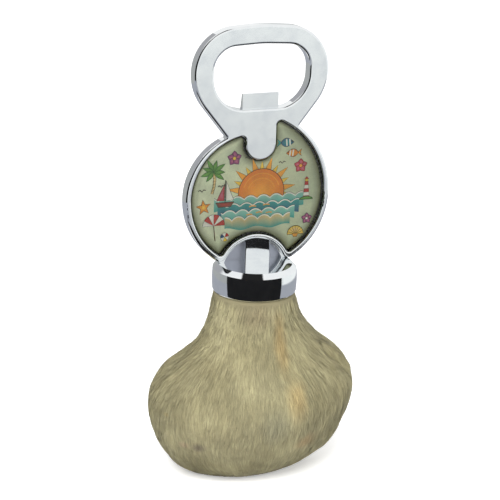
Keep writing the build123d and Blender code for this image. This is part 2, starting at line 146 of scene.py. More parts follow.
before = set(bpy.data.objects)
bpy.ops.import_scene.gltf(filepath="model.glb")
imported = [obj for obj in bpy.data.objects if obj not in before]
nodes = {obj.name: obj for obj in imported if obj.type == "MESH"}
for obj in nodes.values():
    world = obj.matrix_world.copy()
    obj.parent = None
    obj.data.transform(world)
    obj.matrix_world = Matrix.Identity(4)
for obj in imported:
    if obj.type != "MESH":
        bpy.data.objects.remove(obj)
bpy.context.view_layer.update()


# ---- Node trees ------------------------------------------
class Graph:
    """Short calls for building one node tree."""

    def __init__(self, tree):
        self.tree = tree
        self.tree.nodes.clear()

    def add(self, kind, **settings):
        node = self.tree.nodes.new(kind)
        for name, value in settings.items():
            setattr(node, name, value)
        return node

    def put(self, socket, value):
        """Sets an input from another node's output or from a plain value."""
        if isinstance(value, bpy.types.NodeSocket):
            self.tree.links.new(value, socket)
        else:
            socket.default_value = value

    def math(self, operation, *values, clamp=False):
        node = self.add("ShaderNodeMath", operation=operation, use_clamp=clamp)
        for socket, value in zip(node.inputs, values):
            self.put(socket, value)
        return node.outputs[0]

    def times(self, first, second):
        return self.math("MULTIPLY", first, second)

    def vector(self, operation, *values):
        node = self.add("ShaderNodeVectorMath", operation=operation)
        for socket, value in zip(node.inputs, values):
            self.put(socket, value)
        return node.outputs["Value" if operation in ("LENGTH", "DISTANCE") else "Vector"]

    def place(self):
        """A point's place in the object's own axes, which are the frame's."""
        return self.add("ShaderNodeTexCoord").outputs["Object"]

    def facing(self):
        """How squarely a surface faces the front or the back, from 0 to 1."""
        normal = self.add("ShaderNodeTexCoord").outputs["Normal"]
        return self.math("ABSOLUTE", self.parts(normal)[1])

    def parts(self, vector):
        node = self.add("ShaderNodeSeparateXYZ")
        self.put(node.inputs[0], vector)
        return node.outputs[:]

    def noise(self, vector, scale, detail=2.0, roughness=0.5, stretch=None):
        if stretch:
            vector = self.vector("MULTIPLY", vector, stretch)
        node = self.add("ShaderNodeTexNoise")
        self.put(node.inputs["Vector"], vector)
        self.put(node.inputs["Scale"], scale)
        self.put(node.inputs["Detail"], detail)
        self.put(node.inputs["Roughness"], roughness)
        return node.outputs[0]

    def span(self, value, low, high, to_low=0.0, to_high=1.0):
        """Smooth step of a value from one span to another."""
        node = self.add("ShaderNodeMapRange", interpolation_type="SMOOTHSTEP")
        for name, number in zip(
            ("Value", "From Min", "From Max", "To Min", "To Max"),
            (value, low, high, to_low, to_high),
        ):
            self.put(node.inputs[name], number)
        return node.outputs[0]

    def blend(self, share, first, second, mode="MIX"):
        """Colour mix, from the first colour at 0 to the second at 1."""
        node = self.add("ShaderNodeMix", data_type="RGBA", blend_type=mode)
        self.put(node.inputs["Factor"], share)
        for socket, colour in ((node.inputs[6], first), (node.inputs[7], second)):
            if isinstance(colour, tuple) and len(colour) == 3:
                colour = (*colour, 1.0)
            self.put(socket, colour)
        return node.outputs[2]

    def scaled(self, colour, level):
        """A colour times a number."""
        grey = self.add("ShaderNodeCombineXYZ")
        for socket in grey.inputs:
            self.put(socket, level)
        return self.blend(1.0, colour, grey.outputs[0], mode="MULTIPLY")

    def shader_mix(self, share, first, second):
        """One shader at 0, the other at 1."""
        mix = self.add("ShaderNodeMixShader")
        for socket, value in zip(mix.inputs, (share, first, second)):
            self.put(socket, value)
        return mix.outputs[0]

    def attribute(self, name):
        return self.add("ShaderNodeAttribute", attribute_name=name)

    def bump(self, height, strength, distance):
        node = self.add("ShaderNodeBump")
        self.put(node.inputs["Height"], height)
        node.inputs["Strength"].default_value = strength
        node.inputs["Distance"].default_value = distance
        return node.outputs[0]

    def finish(self, shader, kind="ShaderNodeOutputMaterial"):
        """Joins a shader to the tree's output."""
        self.put(self.add(kind).inputs[0], shader)

    def surface(self, **values):
        """A Principled shader with these inputs, joined to the material's output."""
        shader = self.add("ShaderNodeBsdfPrincipled")
        for name, value in values.items():
            if isinstance(value, tuple) and len(value) == 3:
                value = (*value, 1.0)
            self.put(shader.inputs[name.replace("_", " ")], value)
        self.finish(shader.outputs[0])
        return shader


def new_material(name):
    material = bpy.data.materials.new(name)
    material.use_nodes = True
    return material, Graph(material.node_tree)


def dress(node_name, material):
    """Gives a CAD node its material."""
    mesh = nodes[node_name].data
    mesh.materials.clear()
    mesh.materials.append(material)


def link(name, data):
    """A new object with this data, put into the scene."""
    piece = bpy.data.objects.new(name, data)
    bpy.context.scene.collection.objects.link(piece)
    return piece


def search_tree(mesh):
    """A tree that rays are cast at."""
    points = [v.co.copy() for v in mesh.vertices]
    return BVHTree.FromPolygons(points, [tuple(p.vertices) for p in mesh.polygons])


# ---- Materials -------------------------------------------
def chrome(name, flat_roughness):
    """Bright chrome plate: mirror on its rounds, softer where the flats were rubbed down.

    The neck's recessed flats are rougher still, and a darker lilac colour is painted on them as shade
    and reflection; the post's face is a mirror.
    """
    material, graph = new_material(name)
    place = graph.place()
    flat = graph.span(graph.facing(), *FLAT)
    depth = graph.parts(place)[1]
    recess = graph.times(graph.span(depth, *RECESS_START), flat)
    recess = graph.times(recess, graph.span(depth, *RECESS_END, 1.0, 0.0))
    post = graph.times(graph.span(depth, *POST_START), graph.span(depth, *POST_END, 1, 0))
    haze = graph.noise(place, 160, 4, 0.6)
    scratches = graph.noise(place, 900, 3, 0.7, stretch=(0.25, 1.0, 1.0))
    grain = graph.noise(place, 2600, 2, 0.8)
    roughness = graph.math("MULTIPLY_ADD", flat, flat_roughness, 0.035)
    roughness = graph.times(roughness, graph.span(haze, 0.3, 0.7, 0.85, 1.2))
    roughness = graph.math("MULTIPLY_ADD", recess, 0.3, roughness)
    roughness = graph.times(roughness, graph.math("MULTIPLY_ADD", post, -0.7, 1.0))
    waviness = graph.math("ADD", graph.noise(place, 55, 2), graph.times(scratches, 0.08))
    waviness = graph.math("MULTIPLY_ADD", grain, 0.05, waviness)
    colour = graph.blend(graph.span(haze, 0.35, 0.75), (0.86, 0.885, 0.89), (0.80, 0.83, 0.85))
    # painted shade and reflection: the recessed flats are coloured darker and lilac
    colour = graph.blend(recess, colour, (0.46, 0.48, 0.55))
    graph.surface(
        Base_Color=colour,
        Metallic=1.0,
        Roughness=roughness,
        Normal=graph.bump(waviness, 0.10, 0.35 * MM),
    )
    return material


def resin():
    """Clear resin: it mirrors, lets what lies under it show through, and has painted shade at its edge.
    """
    material, graph = new_material("clear_resin")
    ripple = graph.noise(graph.place(), 90, 1)
    bump = graph.bump(ripple, 0.08, 0.4 * MM)
    clear = graph.add("ShaderNodeBsdfTransparent")
    # painted shade: where the resin turns from the front at its edge, what shows through is darkened to
    # near-black olive
    squarely = graph.span(graph.facing(), 0.3, 0.95)
    tint = graph.blend(squarely, (0.10, 0.105, 0.05), (0.96, 0.97, 0.92))
    graph.put(clear.inputs[0], tint)
    gloss = graph.add("ShaderNodeBsdfGlossy")
    gloss.inputs["Roughness"].default_value = 0.03
    graph.put(gloss.inputs["Normal"], bump)
    fresnel = graph.add("ShaderNodeFresnel")
    fresnel.inputs["IOR"].default_value = 1.5
    graph.put(fresnel.inputs["Normal"], bump)
    graph.finish(graph.shader_mix(fresnel.outputs[0], clear.outputs[0], gloss.outputs[0]))
    return material


def film_rim_painted_shade():
    """Painted shade: the rim of the printed film, where no picture reaches, is coloured near black."""
    material, graph = new_material("film_rim_painted_shade")
    mottle = graph.noise(graph.place(), 130, 3)
    # painted shade, near black with a faint mottle
    colour = graph.blend(mottle, SEAM_SHADE, tuple(1.6 * c for c in SEAM_SHADE))
    graph.surface(Base_Color=colour, Roughness=0.5)
    return material


def printed_ink():
    """Printed colours, with the faint mottle of ink on film."""
    material, graph = new_material("printed_ink")
    place = graph.place()
    ink = graph.attribute("ink").outputs["Color"]
    cloud = graph.span(graph.noise(place, 140, 3, 0.6), 0.25, 0.75, 0.86, 1.10)
    dots = graph.span(graph.noise(place, 3200, 1), 0.3, 0.7, 0.95, 1.05)
    level = graph.times(cloud, dots)
    graph.surface(Base_Color=graph.scaled(ink, level), Roughness=0.45)
    return material


def steel():
    """Zinc-plated steel of the screw, washer and binding wire."""
    material, graph = new_material("plated_steel")
    streaks = graph.noise(graph.place(), 700, 3, 0.6, stretch=(1.0, 1.0, 0.2))
    colour = graph.blend(streaks, (0.55, 0.56, 0.58), (0.66, 0.67, 0.70))
    graph.surface(Base_Color=colour, Metallic=1.0, Roughness=graph.span(streaks, 0, 1, 0.25, 0.4))
    return material


def wood():
    """Turned wood of the plug, with its rings round the grain."""
    material, graph = new_material("plug_wood")
    place = graph.place()
    reach = graph.vector("LENGTH", graph.vector("MULTIPLY", place, (1, 1, 0)))
    drift = graph.times(graph.noise(place, 220, 3), 1.2 * MM)
    rings = graph.math("SINE", graph.times(graph.math("ADD", reach, drift), 5200))
    colour = graph.blend(graph.span(rings, -1, 1), (0.62, 0.44, 0.25), (0.76, 0.60, 0.40))
    graph.surface(Base_Color=colour, Roughness=0.7, Normal=graph.bump(rings, 0.2, 0.1 * MM))
    return material


def glue():
    """Dried glue, a little cloudy."""
    material, graph = new_material("glue")
    cloud = graph.noise(graph.place(), 400, 3)
    colour = graph.blend(cloud, (0.74, 0.68, 0.48), (0.86, 0.82, 0.66))
    graph.surface(Base_Color=colour, Roughness=0.35)
    return material


def fur(name, painted_shade):
    """Cream fur.  Strands carry their own tone and grow paler toward the tip; the hide under them has
    painted shade.
    """
    material, graph = new_material(name)
    place = graph.place()
    patches = graph.span(graph.noise(place, 55, 3, 0.6), 0.3, 0.7)
    colour = graph.blend(patches, (0.30, 0.268, 0.148), (0.36, 0.328, 0.19))

    def patch(centre, radius, stretch=(1, 1, 1)):
        """Share of a soft-edged marking round a point."""
        offset = graph.vector("SUBTRACT", place, tuple(c * MM for c in centre))
        offset = graph.vector("MULTIPLY", offset, tuple(1 / s for s in stretch))
        ragged = graph.times(graph.noise(place, 260, 3), 0.5 * radius * MM)
        distance = graph.math("ADD", graph.vector("LENGTH", offset), ragged)
        return graph.span(distance, 0.35 * radius * MM, 1.35 * radius * MM, 1.0, 0.0)

    for share, centre, radius, stretch, tint in MARKINGS:
        mask = graph.times(patch(centre, radius, stretch), share)
        colour = graph.blend(mask, colour, tint)
    if painted_shade:
        # painted shade on the hide, which lies under the hairs
        colour = graph.blend(0.55, colour, (0.14, 0.12, 0.07))
        graph.surface(Base_Color=colour, Roughness=0.9)
        return material
    tone = graph.attribute("hair_tone").outputs["Fac"]
    along = graph.attribute("hair_along").outputs["Fac"]
    bright = graph.math("MULTIPLY_ADD", tone, 0.55, 0.70)
    bright = graph.times(bright, graph.span(along, 0.0, 0.7, 0.68, 1.04))
    cloud = graph.noise(place, 120, 3, 0.6, stretch=(1.0, 1.0, 0.45))
    bright = graph.times(bright, graph.span(cloud, 0.3, 0.7, 0.84, 1.10))
    shader = graph.surface(Base_Color=graph.scaled(colour, bright), Roughness=0.55)
    shader.inputs["Specular IOR Level"].default_value = 0.35
    return material


# ---- Printed picture -------------------------------------
# Motif places are in mm from the disc's centre, to the right and up.  Colours are linear.
INK = (0.020, 0.014, 0.010)
ORANGE = (0.80, 0.23, 0.025)
AMBER = (0.92, 0.42, 0.05)
YELLOW = (0.90, 0.62, 0.07)
SAND = (0.78, 0.58, 0.28)
TEAL = (0.05, 0.36, 0.34)
PALE_TEAL = (0.30, 0.62, 0.55)
NAVY = (0.03, 0.12, 0.26)
RED = (0.55, 0.04, 0.03)
WHITE = (0.85, 0.85, 0.80)
GREEN = (0.07, 0.26, 0.05)
LEAF = (0.20, 0.42, 0.08)
PURPLE = (0.20, 0.05, 0.22)
PINK = (0.65, 0.16, 0.28)
BROWN = (0.16, 0.07, 0.03)


def circle(centre, radius, start=0, end=360, count=28, flat=1.0):
    """Points of an arc or a full round, flattened upward by a share."""
    angles = np.radians(np.linspace(start, end, count, endpoint=end - start < 360))
    x = centre[0] + radius * np.cos(angles)
    z = centre[1] + flat * radius * np.sin(angles)
    return np.stack([x, z], 1)


def petal(centre, angle, length, width):
    """A pointed oval that starts at a centre and reaches out at an angle in degrees."""
    share = np.linspace(0, 1, 9)
    half = width / 2 * np.sin(np.pi * share**0.8)
    one_side = np.stack([share * length, half], 1)
    other_side = np.stack([share * length, -half], 1)
    points = np.concatenate([one_side, other_side[-2:0:-1]])
    turn = math.radians(angle)
    along = np.array((math.cos(turn), math.sin(turn)))
    across = np.array((-along[1], along[0]))
    return np.array(centre) + points[:, :1] * along + points[:, 1:] * across


def wave(left, right, height, swell, length, phase=0.0):
    """Points of a wavy line from left to right."""
    x = np.linspace(left, right, int((right - left) * 2))
    crest = np.abs(np.sin(math.pi * (x / length + phase))) ** 0.7
    return np.stack([x, height + swell * crest], 1)


class Picture:
    """Collects flat inked shapes, each one printed over those before it."""

    def __init__(self):
        self.points = []
        self.faces = []
        self.colours = []
        self.layer = 0

    def add(self, points, faces, colours):
        """Adds a shape on a layer of its own; each point is its place and its layer."""
        self.layer += 1
        start = len(self.points)
        self.points += [(p[0], self.layer, p[1]) for p in points]
        self.faces += [tuple(start + i for i in face) for face in faces]
        self.colours += [tuple(c) for c in colours]

    def fill(self, outline, colour, middle=None, ink=0.16):
        """A filled shape, round its own middle, shaded toward that middle and lined in ink."""
        outline = np.array(outline, float)
        count = len(outline)
        centre = outline.mean(0)
        points = [*outline, centre]
        faces = [(i, (i + 1) % count, count) for i in range(count)]
        self.add(points, faces, [colour] * count + [middle or colour])
        if ink:
            self.stroke(outline, ink, closed=True)

    def stroke(self, path, width, colour=INK, closed=False):
        """A line of even width."""
        path = np.array(path, float)
        if closed:
            path = np.vstack([path, path[:1]])
        run = np.gradient(path, axis=0)
        if closed:
            run[0] = run[-1] = path[1] - path[-2]
        run /= np.linalg.norm(run, axis=1, keepdims=True) + 1e-9
        side = np.stack([-run[:, 1], run[:, 0]], 1) * width / 2
        points = [*(path + side), *(path - side)]
        count = len(path)
        faces = [(i, i + 1, count + i + 1, count + i) for i in range(count - 1)]
        self.add(points, faces, [colour] * len(points))

    def band(self, upper, lower, top_colour, low_colour):
        """A strip between two lines of as many points."""
        count = len(upper)
        faces = [(i, i + 1, count + i + 1, count + i) for i in range(count - 1)]
        self.add([*upper, *lower], faces, [top_colour] * count + [low_colour] * count)


def draw_sea_and_sun(picture):
    for i in range(13):
        angle = -8 + i * 16.3
        reach = 12.4 if i % 2 else 10.8
        picture.fill(petal((1.5, 1.0), angle, reach, 2.6), AMBER if i % 2 else YELLOW, ink=0.1)
    picture.fill(circle((1.5, 1.0), 8.2, count=40), ORANGE, middle=AMBER, ink=0.22)
    for radius in (6.6, 4.9):
        picture.stroke(circle((1.5, 1.0), radius, 18, 162, 20), 0.28, AMBER)
    shades = ((PALE_TEAL, TEAL), (TEAL, NAVY), (PALE_TEAL, TEAL), (SAND, TEAL))
    for row, (upper_colour, lower_colour) in enumerate(shades):
        height = -1.2 - 2.3 * row
        left, right = -15.2 + 1.3 * row, 17.0 - 1.6 * row
        upper = wave(left, right, height, 1.3, 4.6, 0.3 * row)
        lower = upper.copy()
        lower[:, 1] = height - 2.9 + 0.5 * np.cos(upper[:, 0] * 0.6)
        picture.band(upper, lower, upper_colour, lower_colour)
        picture.stroke(upper, 0.42, WHITE)
        picture.stroke(upper + (0, 0.3), 0.13)
    for i, (x, z) in enumerate(((-1.5, -3.6), (3.5, -3.4), (1.0, -5.9), (4.6, -6.2), (-2.4, -6.4))):
        picture.stroke([(x - 1.2, z), (x, z + 0.2), (x + 1.3 - 0.1 * i, z)], 0.4, AMBER)


def draw_boat(picture, x, z):
    hull = [(x - 3.2, z), (x + 3.4, z), (x + 2.3, z - 1.6), (x - 2.2, z - 1.6)]
    picture.fill(hull, BROWN, middle=RED)
    picture.stroke([(x + 0.2, z), (x + 0.2, z + 7.6)], 0.24)
    right_sail = [(x + 0.5, z + 0.5), (x + 3.2, z + 0.7), (x + 2.0, z + 3.6), (x + 0.5, z + 7.2)]
    picture.fill(right_sail, WHITE)
    left_sail = [(x - 0.1, z + 0.5), (x - 2.8, z + 0.7), (x - 1.5, z + 3.4), (x - 0.1, z + 6.4)]
    picture.fill(left_sail, RED, PINK)


def draw_umbrella(picture, x, z, size):
    picture.stroke([(x, z), (x + 0.16 * size, z - 1.35 * size)], 0.3, BROWN)
    picture.stroke([(x, z), (x + 0.16 * size, z - 1.35 * size)], 0.1)
    for i in range(6):
        low, high = 180 - 30 * i, 150 - 30 * i
        wedge = np.vstack([[(x, z)], circle((x, z), size, low, high, 6)])
        picture.fill(wedge, RED if i % 2 else WHITE, ink=0.12)


def draw_palm(picture, x, z):
    trunk = np.array([(x - 0.4, z - 7.5), (x + 0.3, z - 5), (x + 0.5, z - 2.5), (x, z)])
    picture.stroke(trunk, 1.0)
    picture.stroke(trunk, 0.72, SAND)
    for i in range(6):
        low = trunk[0] + (trunk[3] - trunk[0]) * (i + 1) / 7 + (0.35, 0)
        picture.stroke([low - (0.35, 0.1), low + (0.35, 0.1)], 0.14, BROWN)
    for i, angle in enumerate((-38, -5, 32, 75, 118, 158, 196, 232)):
        picture.fill(petal((x, z), angle, 4.1 if i % 2 else 4.8, 1.5), GREEN, middle=LEAF, ink=0.1)


def draw_flower(picture, x, z, size, colour, heart):
    for i in range(5):
        picture.fill(petal((x, z), 18 + 72 * i, size, 0.85 * size), colour, middle=PINK, ink=0.12)
    picture.fill(circle((x, z), 0.24 * size, count=12), heart, ink=0.1)


def draw_fish(picture, x, z, size, colour, stripe, facing=1):
    body = petal((x - facing * size / 2, z), 0 if facing > 0 else 180, size, 0.62 * size)
    tail = [(-0.42, 0.0), (-0.78, 0.28), (-0.66, 0.0), (-0.78, -0.28)]
    picture.fill([(x + facing * u * size, z + v * size) for u, v in tail], stripe)
    picture.fill(body, colour, middle=stripe)
    for u in (-0.08, 0.16):
        top = (x + facing * u * size, z + 0.24 * size)
        foot = (x + facing * (u + 0.05) * size, z - 0.24 * size)
        picture.stroke([top, foot], 0.11 * size, WHITE)
    eye = (x + facing * 0.33 * size, z + 0.05 * size)
    picture.fill(circle(eye, 0.05 * size, count=8), INK, ink=0)


def draw_starfish(picture, x, z, size):
    outline = []
    for i in range(10):
        reach = size if i % 2 == 0 else 0.42 * size
        angle = math.radians(97 + 36 * i)
        outline.append((x + reach * math.cos(angle), z + reach * math.sin(angle)))
    picture.fill(outline, ORANGE, middle=YELLOW, ink=0.18)
    for i in range(5):
        angle = math.radians(97 + 72 * i)
        for share in (0.3, 0.55):
            spot = (x + share * size * math.cos(angle), z + share * size * math.sin(angle))
            picture.fill(circle(spot, 0.13, count=6), RED, ink=0)


def draw_shell(picture, x, z, size):
    picture.fill(circle((x, z), size, -8, 188, 18, 0.9), YELLOW, middle=SAND, ink=0.18)
    for i in range(7):
        angle = math.radians(15 + 25 * i)
        end = (x + 0.94 * size * math.cos(angle), z + 0.85 * size * math.sin(angle))
        picture.stroke([(x, z - 0.1 * size), end], 0.14, BROWN)
    low = z - 0.45 * size
    top = z - 0.1
    hinge = [(x - 0.4 * size, top), (x + 0.4 * size, top), (x + 0.2 * size, low), (x - 0.2 * size, low)]
    picture.fill(hinge, AMBER)


def draw_lighthouse(picture, x, z):
    for i in range(5):
        low, high = 1.25 - 0.13 * i, 1.25 - 0.13 * (i + 1)
        base = z + 1.25 * i
        tier = [(x - low, base), (x + low, base), (x + high, base + 1.25), (x - high, base + 1.25)]
        picture.fill(tier, WHITE if i % 2 else RED, ink=0.12)
    lamp = [(x - 0.5, z + 6.25), (x + 0.5, z + 6.25), (x + 0.5, z + 7.1), (x - 0.5, z + 7.1)]
    picture.fill(lamp, YELLOW)
    picture.fill([(x - 0.8, z + 7.1), (x + 0.8, z + 7.1), (x, z + 8.0)], RED)
    picture.fill(circle((x, z), 2.5, 0, 180, 14, 0.42), GREEN, middle=LEAF)


def draw_gull(picture, x, z, size):
    wings = ((-1.0, 0.25), (-0.5, 0.5), (0.0, 0.0), (0.5, 0.55), (1.0, 0.35))
    picture.stroke([(x + u * size, z + v * size) for u, v in wings], 0.28)


def draw_ball(picture, x, z, size):
    for i, colour in enumerate((RED, WHITE, NAVY, WHITE, YELLOW, WHITE)):
        wedge = np.vstack([[(x, z)], circle((x, z), size, 60 * i + 10, 60 * i + 70, 6)])
        picture.fill(wedge, colour, ink=0.1)


def draw_picture():
    """A seaside souvenir print: sun and sea in the middle, holiday motifs round them."""
    picture = Picture()
    draw_sea_and_sun(picture)
    draw_boat(picture, -11.5, -1.4)
    draw_palm(picture, -15.6, 9.3)
    draw_flower(picture, -8.4, 13.4, 2.6, PURPLE, YELLOW)
    draw_fish(picture, 10.3, 17.6, 4.8, NAVY, TEAL)
    draw_fish(picture, 12.2, 13.9, 4.4, ORANGE, AMBER, facing=-1)
    draw_flower(picture, 15.4, 9.3, 2.5, RED, AMBER)
    draw_lighthouse(picture, 17.8, -2.6)
    draw_starfish(picture, -18.9, -2.6, 2.7)
    draw_umbrella(picture, -15.2, -9.2, 3.9)
    draw_ball(picture, -11.2, -13.4, 1.5)
    draw_shell(picture, 14.3, -14.2, 2.9)
    draw_flower(picture, 18.3, -9.3, 2.0, PURPLE, WHITE)
    draw_gull(picture, -3.2, 12.9, 1.5)
    draw_gull(picture, 1.2, 14.8, 1.2)
    draw_gull(picture, -12.9, 3.9, 1.1)
    draw_gull(picture, -19.6, 2.8, 1.3)
    draw_gull(picture, 8.6, 10.6, 1.2)
    return picture


def paper(film, depth):
    """Printed ground: a fine grid inside the film's outline, with painted olive shade toward its edges.

    Returns its points, faces and colours.
    """
    low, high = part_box("print_inlay")
    tree = search_tree(film)
    pale_from, pale_over = OLIVE_SHADE_REACH
    rim = []
    for polygon in film.polygons:
        if abs(polygon.normal.y) < 0.5:
            corners = [film.vertices[i].co for i in polygon.vertices]
            for first, second in zip(corners, corners[1:] + corners[:1]):
                count = int((second - first).length / EDGE_STEP) + 1
                rim += [first.lerp(second, i / count) for i in range(count)]
    edge = kdtree.KDTree(len(rim))
    for i, place in enumerate(rim):
        edge.insert((place.x, 0, place.z), i)
    edge.balance()
    columns = int((high.x - low.x) / PRINT_CELL) + 1
    rows = int((high.z - low.z) / PRINT_CELL) + 1
    points, colours, index = [], [], {}
    for row in range(rows):
        for column in range(columns):
            x = low.x + column * PRINT_CELL
            z = low.z + row * PRINT_CELL
            if not tree.ray_cast(Vector((x, low.y - 1 * MM, z)), Vector((0, 1, 0)))[0]:
                continue
            reach = edge.find((x, 0, z))[2] / MM
            side = (x - low.x) / (high.x - low.x)
            paper_here = np.array(PAPER_LEFT) * (1 - side) + np.array(PAPER_RIGHT) * side
            # painted olive shade, paling away from the film's edge
            share = min(max((reach - pale_from) / pale_over, 0.0), 1.0) ** 0.8
            colour = np.array(OLIVE_SHADE) * (1 - share) + paper_here * share
            # painted near-black shade right at the film's edge, where it meets the pocket's wall
            share = min(reach / SEAM_SHADE_REACH, 1.0)
            colours.append(tuple(np.array(SEAM_SHADE) * (1 - share) + colour * share))
            index[row, column] = len(points)
            points.append((x, depth, z))
    faces = []
    for row, column in index:
        corners = [(row, column), (row, column + 1), (row + 1, column + 1), (row + 1, column)]
        if all(corner in index for corner in corners):
            faces.append(tuple(index[corner] for corner in corners))
    return points, faces, colours


def make_picture():
    """Thin printed layer on the film's face, under the resin."""
    low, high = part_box("print_inlay")
    collar_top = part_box("collar")[1].z
    centre_x = (low.x + high.x) / 2
    centre_z = collar_top + DISC_RISE
    points, faces, colours = paper(nodes["print_inlay"].data, low.y - LAYER)
    start = len(points)
    picture = draw_picture()
    for x, layer, z in picture.points:
        depth = low.y - 2 * LAYER - PRINT_STACK * layer / picture.layer
        points.append((centre_x + x * MM, depth, centre_z + z * MM))
    faces += [tuple(start + i for i in face) for face in picture.faces]
    colours += picture.colours
    mesh = bpy.data.meshes.new("printed_picture")
    mesh.from_pydata(points, [], faces)
    ink = mesh.color_attributes.new("ink", "FLOAT_COLOR", "POINT")
    ink.data.foreach_set("color", [v for colour in colours for v in (*colour, 1.0)])
    unrolled = mesh.uv_layers.new(name="OFBake")
    for loop in mesh.loops:
        place = mesh.vertices[loop.vertex_index].co
        u = (place.x - low.x) / (high.x - low.x)
        v = (place.z - low.z) / (high.z - low.z)
        unrolled.uv[loop.index].vector = (u, v)
    mesh.materials.append(printed_ink())
    piece = link("printed_picture", mesh)
    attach(piece, "root")


# ---- Pouch -----------------------------------------------
def pouch_grid():
    """The bag's outside as rows of points, from just under the collar to the middle of the base.

    Returns the points, the length of a row step and the row at which the flat base starts.
    """
    tree = search_tree(nodes["pouch_skin"].data)
    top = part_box("collar")[0].z - SKIN_TOP_GAP
    heights = np.linspace(top, BASE_HEIGHT, HEIGHTS_READ)
    angles = np.linspace(0, 2 * math.pi, COLUMNS, endpoint=False)
    rows = []
    for z in heights:
        row = []
        for angle in angles:
            out = Vector((math.sin(angle), -math.cos(angle), 0))
            row.append(tree.ray_cast(out * FAR + Vector((0, 0, z)), -out)[0])
        rows.append(row)
    rim = np.array(rows[-1])
    middle = rim.mean(0)
    for share in np.linspace(1, INNERMOST, BASE_RINGS)[1:]:
        rows.append(middle + (rim - middle) * share)
    points = np.array([[tuple(p) for p in row] for row in rows])
    steps = np.linalg.norm(np.diff(points, axis=0), axis=2).mean(1)
    run = np.concatenate([[0], np.cumsum(steps)])
    count = int(run[-1] / ROW_STEP) + 1
    even = np.linspace(0, run[-1], count)
    flat = points.reshape(len(points), -1)
    grid = np.stack([np.interp(even, run, column) for column in flat.T], axis=1)
    base_row = np.interp(run[len(heights) - 1], even, np.arange(count))
    return grid.reshape(count, COLUMNS, 3), even[1], base_row


def grid_normals(grid):
    """Outward normals of a grid whose columns close into a ring."""
    down = np.gradient(grid, axis=0)
    around = np.roll(grid, -1, axis=1) - np.roll(grid, 1, axis=1)
    normals = np.cross(down, around)
    normals /= np.linalg.norm(normals, axis=2, keepdims=True) + 1e-12
    outward = grid - grid.mean((0, 1))
    if (normals * outward).sum() < 0:
        normals = -normals
    return normals


def field(points, scale, seed):
    """Smooth noise of about -1 to 1 at each point."""
    offset = Vector((seed * 17.3, seed * 5.1, seed * 9.7))
    flat = points.reshape(-1, 3)
    values = [noise.noise(Vector(p) / scale + offset) for p in flat]
    return np.array(values).reshape(points.shape[:-1])


def shaped_grid():
    """The grid with the pouch's soft lumps and the fold on its right shoulder."""
    grid, step, base_row = pouch_grid()
    normals = grid_normals(grid)
    rows = np.arange(len(grid))[:, None]
    free = np.clip(rows * step / (6 * MM), 0, 1) * np.clip((base_row - rows) * step / (5 * MM), 0, 1)
    lumps = 0.55 * MM * field(grid, 11 * MM, 1) + 0.3 * MM * field(grid, 5 * MM, 2)
    along = FOLD_END - FOLD_START
    share = np.clip(((grid - FOLD_START) @ along) / (along @ along), 0, 1)
    apart = grid - (FOLD_START + share[..., None] * along)
    distance = np.linalg.norm(apart, axis=2)
    fold = -1.5 * MM * np.exp(-((distance / (1.3 * MM)) ** 2))
    above = apart[..., 2] > 0
    ridge = 0.7 * MM * np.exp(-(((distance - 2.6 * MM) / (1.6 * MM)) ** 2)) * above
    grid = grid + normals * ((lumps + fold + ridge) * free)[..., None]
    return grid, step, base_row


class Skin:
    """Reads the grid between its points.  Rows are counted down, columns around."""

    def __init__(self, grid, step):
        self.grid = grid
        self.normals = grid_normals(grid)
        self.step = step
        around = np.linalg.norm(np.roll(grid, -1, axis=1) - grid, axis=2)
        self.around = (around + np.roll(around, 1, axis=1)) / 2

    def read(self, table, row, column):
        """Values of a table of the grid's size at these rows and columns."""
        row = np.clip(row, 0, len(self.grid) - 1.001)
        low = np.floor(row).astype(int)
        left = np.floor(column).astype(int)
        down = row - low
        side = column - left
        if table.ndim == 3:
            down = down[:, None]
            side = side[:, None]
        left %= COLUMNS
        right = (left + 1) % COLUMNS
        upper = table[low, left] * (1 - side) + table[low, right] * side
        lower = table[low + 1, left] * (1 - side) + table[low + 1, right] * side
        return upper * (1 - down) + lower * down


def hide_mesh(skin):
    """The hide under the fur: the grid, closed by a cap inside the collar and one at the base."""
    collar_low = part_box("collar")[0].z
    top_row = skin.grid[0][:, :2]
    directions = top_row / np.linalg.norm(top_row, axis=1, keepdims=True)
    tucks = []
    for radius, rise in TUCKS:
        level = np.full((COLUMNS, 1), collar_low + rise * MM)
        tucks.insert(0, np.hstack([directions * radius * MM, level]))
    rings = tucks + list(skin.grid)
    vertices = [tuple(p) for ring in rings for p in ring]
    faces = []
    for ring in range(len(rings) - 1):
        upper, lower = ring * COLUMNS, (ring + 1) * COLUMNS
        for left in range(COLUMNS):
            right = (left + 1) % COLUMNS
            faces.append((upper + left, upper + right, lower + right, lower + left))
    last = (len(rings) - 1) * COLUMNS
    faces.append(tuple(range(COLUMNS - 1, -1, -1)))
    faces.append(tuple(range(last, last + COLUMNS)))
    mesh = bpy.data.meshes.new("pouch_hide")
    mesh.from_pydata(vertices, [], faces)
    mesh.update()
    for polygon in mesh.polygons:
        polygon.use_smooth = True
    return mesh


def strand_roots(skin, count, row_span, random):
    """Rows and columns of hair roots, even over the surface between two rows."""
    low, high = row_span
    rows = np.arange(int(low), int(high))
    share = np.cumsum(skin.around[rows].ravel())
    picks = np.searchsorted(share, random.random(count) * share[-1])
    row = rows[picks // COLUMNS] + random.random(count)
    column = picks % COLUMNS + random.random(count)
    return row, column


def lie_of_hair(skin, row, column, random):
    """Angle of each hair from straight down the bag, in radians."""
    places = skin.read(skin.grid, row, column)
    wander = field(places, 19 * MM, 3) * 1.5 + field(places, 6 * MM, 4) * 0.6
    return np.radians(SWEEP * wander + STRAY * random.standard_normal(len(row)))


